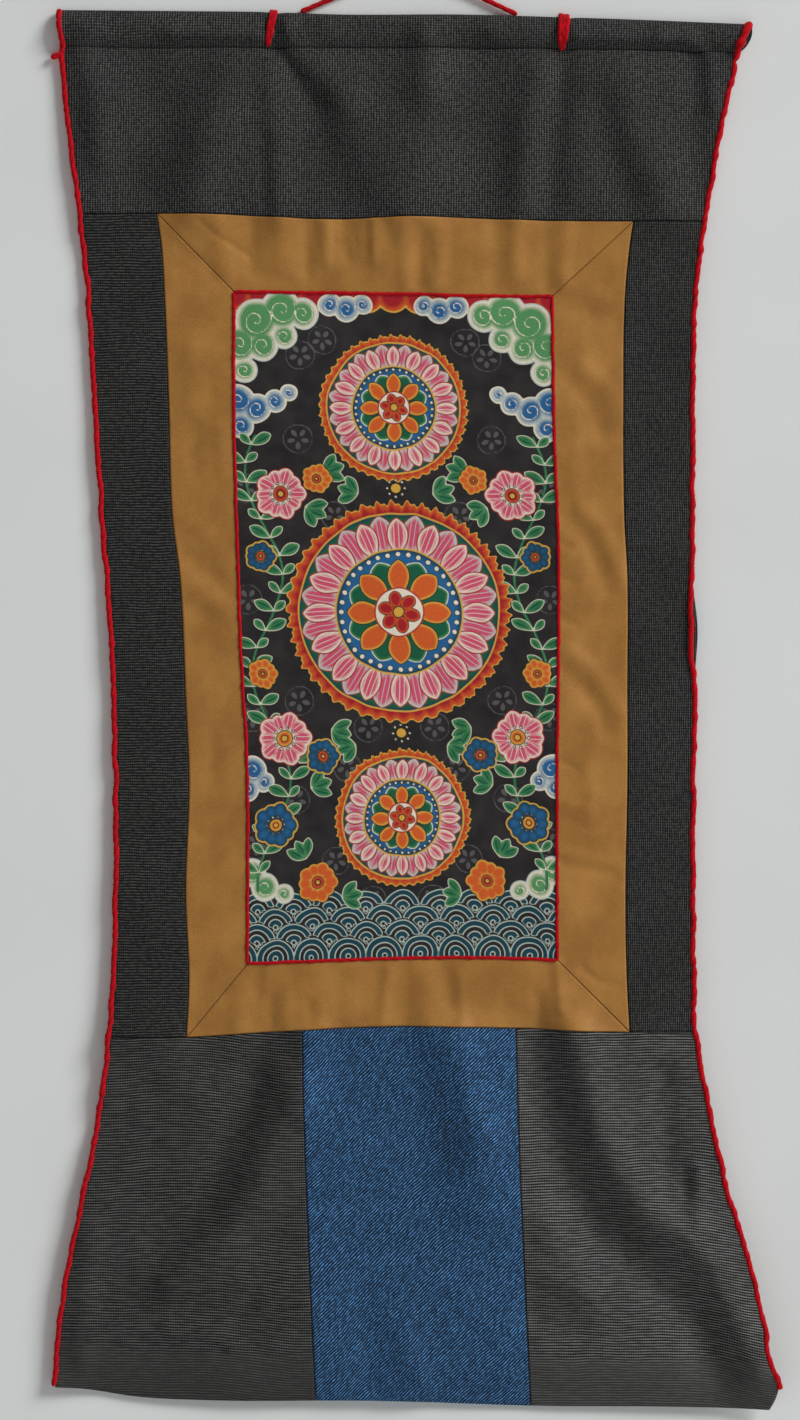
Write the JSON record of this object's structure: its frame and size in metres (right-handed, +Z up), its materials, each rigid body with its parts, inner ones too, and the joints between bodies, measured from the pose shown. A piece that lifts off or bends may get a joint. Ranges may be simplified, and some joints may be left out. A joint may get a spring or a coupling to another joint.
{
  "type": "thangka scroll painting",
  "caption": "Hanging scroll of dark cloth panels with a mitred gold border round a painted cloth, red yarn edging and a hanging cord over a rod sleeve.",
  "frame": {"origin": "middle of the heading's top edge, where the scroll is held up", "axes": "+Z up, +X to the viewer's right, +Y away from the viewer into the wall; the painted front faces -Y"},
  "size_m": [0.4724, 0.0279, 0.9405],
  "materials": {
    "slub_cloth": "charcoal slub weave, matt",
    "ribbed_cloth": "charcoal ribbed weave, matt",
    "gold_cloth": "gold-brown plain cloth, soft sheen",
    "painted_cloth": "painted cotton, matt",
    "blue_twill": "blue melange twill, matt",
    "red_yarn": "red twisted yarn, fuzzy"
  },
  "bodies": {
    "root": {"rod_sleeve": "slub_cloth", "top_panel": "slub_cloth", "side_strip_left": "ribbed_cloth", "side_strip_right": "ribbed_cloth", "gold_border_top": "gold_cloth", "gold_border_bottom": "gold_cloth", "gold_border_left": "gold_cloth", "gold_border_right": "gold_cloth", "painting_canvas": "painted_cloth", "bottom_panel_left": "ribbed_cloth", "bottom_panel_centre": "blue_twill", "bottom_panel_right": "ribbed_cloth", "piping_top": "red_yarn", "piping_bottom": "red_yarn", "piping_left": "red_yarn", "piping_right": "red_yarn", "edge_yarn_left": "red_yarn", "edge_yarn_right": "red_yarn", "tie_left": "red_yarn", "tie_right": "red_yarn", "hanging_cord": "red_yarn"}
  },
  "joints": []
}
